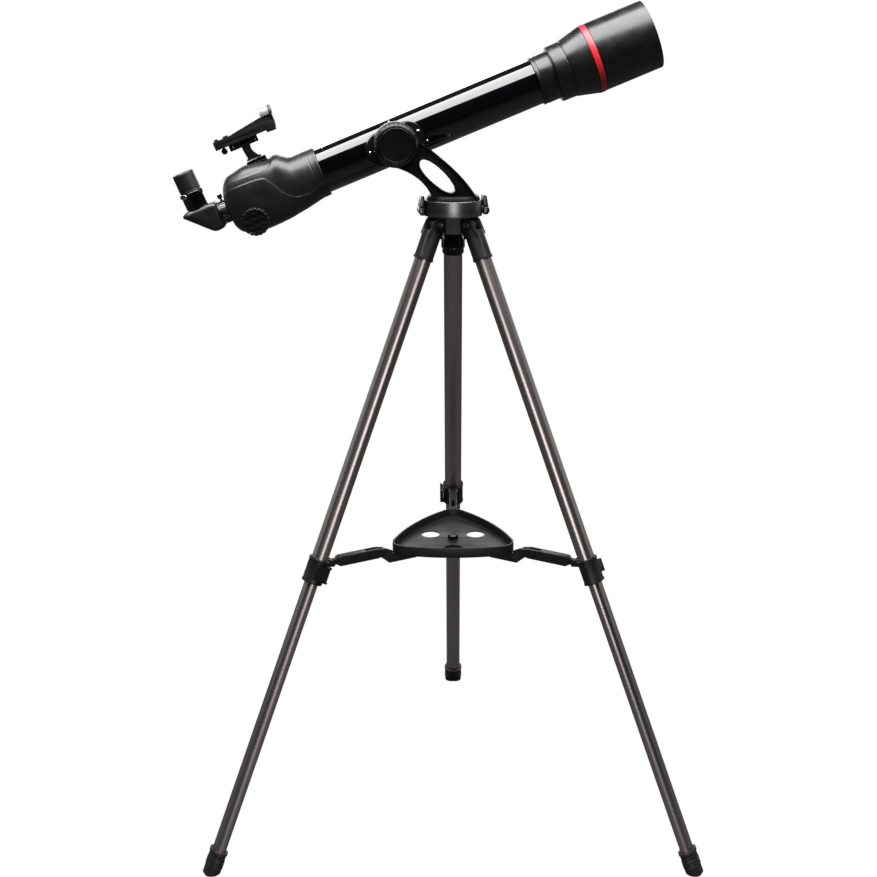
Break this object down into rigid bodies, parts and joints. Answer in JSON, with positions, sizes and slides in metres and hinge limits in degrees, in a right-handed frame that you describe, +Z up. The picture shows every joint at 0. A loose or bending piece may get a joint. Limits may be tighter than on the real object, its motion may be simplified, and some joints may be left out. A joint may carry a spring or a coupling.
{
  "type": "refracting telescope on tripod",
  "caption": "Small refracting telescope on a curved single-arm mount, with star diagonal, finder and dew shield, on a folding tripod with a tray.",
  "frame": {"origin": "on the floor, at the middle of the object's bounding box", "axes": "+Z up, +X towards the objective end of the tube, -Y towards the mount's near side"},
  "size_m": [0.9238, 0.7754, 1.4801],
  "materials": {
    "leg": "satin, dark brown-black anodised",
    "matte_black": "fine matte",
    "satin_black": "satin",
    "rubber": "matte rubber",
    "steel": "polished",
    "silver": "satin, knurled ring",
    "brushed_black": "brushed satin",
    "gloss_black": "high gloss black paint",
    "red_trim": "gloss red",
    "lens_glass": "coated optical glass",
    "clear_plastic": "clear grey",
    "mirror": "front-silvered"
  },
  "bodies": {
    "tripod_head": {"head_casting": "matte_black", "head_ring": "brushed_black", "left_leg_bolt": "steel", "right_leg_bolt": "steel", "rear_leg_bolt": "steel"},
    "left_leg": {"left_crown": "matte_black", "left_upper_leg": "leg", "left_collar": "satin_black"},
    "left_lever": {"left_lock_lever": "satin_black"},
    "left_lower": {"left_lower_leg": "leg", "left_foot": "rubber"},
    "left_strut": {"left_brace": "matte_black"},
    "right_leg": {"right_crown": "matte_black", "right_upper_leg": "leg", "right_collar": "satin_black"},
    "right_lever": {"right_lock_lever": "satin_black"},
    "right_lower": {"right_lower_leg": "leg", "right_foot": "rubber"},
    "right_strut": {"right_brace": "matte_black"},
    "rear_leg": {"rear_crown": "matte_black", "rear_upper_leg": "leg", "rear_collar": "satin_black"},
    "rear_lever": {"rear_lock_lever": "satin_black"},
    "rear_lower": {"rear_lower_leg": "leg", "rear_foot": "rubber"},
    "rear_strut": {"rear_brace": "matte_black"},
    "spreader": {"spreader_hub": "matte_black", "accessory_tray": "satin_black"},
    "tray_screw": {"tray_knob": "satin_black"},
    "mount_arm": {"fork_arm": "satin_black"},
    "azimuth_clamp": {"azimuth_knob": "satin_black"},
    "altitude_clamp": {"altitude_knob": "satin_black"},
    "optical_tube": {"altitude_axle": "steel", "saddle_plate": "satin_black", "main_tube": "gloss_black", "objective_cell": "satin_black", "crown_lens": "lens_glass", "flint_lens": "lens_glass", "lens_ring": "matte_black", "housing_near": "satin_black", "housing_far": "satin_black", "finder_shoe": "matte_black", "finder_bracket": "satin_black", "finder_body": "matte_black", "finder_window": "clear_plastic"},
    "hood": {"dew_shield": "satin_black", "trim_ring": "red_trim"},
    "focuser": {"drawtube": "silver", "clamp_ring": "silver"},
    "draw_clamp": {"clamp_screw": "steel"},
    "focus_drive": {"focus_shaft": "steel", "focus_knob_near": "satin_black", "focus_knob_far": "satin_black"},
    "diagonal": {"diagonal_housing": "satin_black", "diagonal_mirror": "mirror", "eyepiece_holder": "satin_black"},
    "eyepiece": {"eyepiece_barrel": "satin_black", "eye_lens": "lens_glass"},
    "eyepiece_clamp": {"eyepiece_screw": "steel"},
    "finder_adjuster": {"finder_dial": "matte_black"}
  },
  "joints": [
    {"name": "left_leg_fold", "type": "hinge", "parent": "tripod_head", "child": "left_leg", "pos_m": [-0.01422, -0.14007, 1.117], "axis": [0.5, -0.866, 0], "range_deg": [0, 7]},
    {"name": "right_leg_fold", "type": "hinge", "parent": "tripod_head", "child": "right_leg", "pos_m": [0.0464, -0.14007, 1.117], "axis": [0.5, 0.866, 0], "range_deg": [0, 7]},
    {"name": "rear_leg_fold", "type": "hinge", "parent": "tripod_head", "child": "rear_leg", "pos_m": [0.01609, -0.08757, 1.117], "axis": [-1, 0, 0], "range_deg": [0, 7]},
    {"name": "spreader_lift", "type": "slide", "parent": "tripod_head", "child": "spreader", "axis": [0, 0, 1], "range_m": [0, 0.0752]},
    {"name": "left_brace_swing", "type": "hinge", "parent": "left_leg", "child": "left_strut", "pos_m": [-0.19782, -0.24607, 0.541], "axis": [0.5, -0.866, 0], "range_deg": [0, 66.3]},
    {"name": "left_lever_flip", "type": "hinge", "parent": "left_leg", "child": "left_lever", "pos_m": [-0.20255, -0.27559, 0.52749], "axis": [0.3304, 0.1907, 0.9244], "range_deg": [0, 90]},
    {"name": "left_leg_slide", "type": "slide", "parent": "left_leg", "child": "left_lower", "axis": [0.3304, 0.1907, 0.9244], "range_m": [0, 0.4]},
    {"name": "right_brace_swing", "type": "hinge", "parent": "right_leg", "child": "right_strut", "pos_m": [0.23, -0.24607, 0.541], "axis": [0.5, 0.866, 0], "range_deg": [0, 66.3]},
    {"name": "right_lever_flip", "type": "hinge", "parent": "right_leg", "child": "right_lever", "pos_m": [0.25793, -0.2354, 0.52749], "axis": [-0.3304, 0.1907, 0.9244], "range_deg": [0, 90]},
    {"name": "right_leg_slide", "type": "slide", "parent": "right_leg", "child": "right_lower", "axis": [-0.3304, 0.1907, 0.9244], "range_m": [0, 0.4]},
    {"name": "rear_brace_swing", "type": "hinge", "parent": "rear_leg", "child": "rear_strut", "pos_m": [0.01609, 0.12443, 0.541], "axis": [-1, 0, 0], "range_deg": [0, 66.3]},
    {"name": "rear_lever_flip", "type": "hinge", "parent": "rear_leg", "child": "rear_lever", "pos_m": [-0.00711, 0.14329, 0.52749], "axis": [0, -0.3815, 0.9244], "range_deg": [0, 90]},
    {"name": "rear_leg_slide", "type": "slide", "parent": "rear_leg", "child": "rear_lower", "axis": [0, -0.3815, 0.9244], "range_m": [0, 0.4]},
    {"name": "tray_knob_turn", "type": "hinge", "parent": "spreader", "child": "tray_screw", "pos_m": [0.01609, -0.12257, 0], "axis": [0, 0, 1], "range_deg": [0, 360]},
    {"name": "azimuth_turn", "type": "hinge", "parent": "tripod_head", "child": "mount_arm", "pos_m": [0.01609, -0.12257, 0], "axis": [0, 0, 1], "continuous": true},
    {"name": "azimuth_knob_turn", "type": "hinge", "parent": "mount_arm", "child": "azimuth_clamp", "pos_m": [0.01609, -0.12257, 0], "axis": [0, 0, 1], "range_deg": [0, 180]},
    {"name": "altitude_tilt", "type": "hinge", "parent": "mount_arm", "child": "optical_tube", "pos_m": [-0.08104, -0.13106, 1.25], "axis": [0.0872, -0.9962, 0], "range_deg": [-30, 45]},
    {"name": "altitude_knob_turn", "type": "hinge", "parent": "mount_arm", "child": "altitude_clamp", "pos_m": [-0.08104, -0.13106, 1.25], "axis": [-0.0872, 0.9962, 0], "range_deg": [0, 180]},
    {"name": "dew_shield_pull", "type": "slide", "parent": "optical_tube", "child": "hood", "axis": [0.925, 0.0809, 0.3714], "range_m": [0, 0.016]},
    {"name": "focus_travel", "type": "slide", "parent": "optical_tube", "child": "focuser", "axis": [-0.925, -0.0809, -0.3714], "range_m": [0, 0.06]},
    {"name": "focus_shaft_turn", "type": "hinge", "parent": "optical_tube", "child": "focus_drive", "pos_m": [-0.31783, -0.15178, 1.12262], "axis": [0.0872, -0.9962, 0], "range_deg": [0, 575]},
    {"name": "diagonal_turn", "type": "hinge", "parent": "focuser", "child": "diagonal", "pos_m": [-0.0854, -0.08125, 1.25], "axis": [0.925, 0.0809, 0.3714], "continuous": true},
    {"name": "clamp_screw_turn", "type": "hinge", "parent": "focuser", "child": "draw_clamp", "pos_m": [-0.37454, -0.10655, 1.13391], "axis": [-0.37, -0.0324, 0.9285], "range_deg": [0, 360]},
    {"name": "eyepiece_pull", "type": "slide", "parent": "diagonal", "child": "eyepiece", "axis": [-0.37, -0.0324, 0.9285], "range_m": [0, 0.022]},
    {"name": "eyepiece_screw_turn", "type": "hinge", "parent": "diagonal", "child": "eyepiece_clamp", "pos_m": [-0.43133, -0.11152, 1.16496], "axis": [-0.2657, -0.954, -0.1391], "range_deg": [0, 360]},
    {"name": "finder_dial_turn", "type": "hinge", "parent": "optical_tube", "child": "finder_adjuster", "pos_m": [-0.372, -0.10633, 1.23552], "axis": [-0.0872, 0.9962, 0], "range_deg": [0, 270]}
  ],
  "couplings": [
    {"joint": "right_leg_fold", "follows": "left_leg_fold", "ratio": 1},
    {"joint": "rear_leg_fold", "follows": "left_leg_fold", "ratio": 1},
    {"joint": "spreader_lift", "follows": "left_leg_fold", "m_per_rad": 0.61501},
    {"joint": "left_brace_swing", "follows": "left_leg_fold", "ratio": 9.4545},
    {"joint": "right_brace_swing", "follows": "left_leg_fold", "ratio": 9.4545},
    {"joint": "rear_brace_swing", "follows": "left_leg_fold", "ratio": 9.4545},
    {"joint": "focus_shaft_turn", "follows": "focus_travel", "rad_per_m": 166.67}
  ]
}
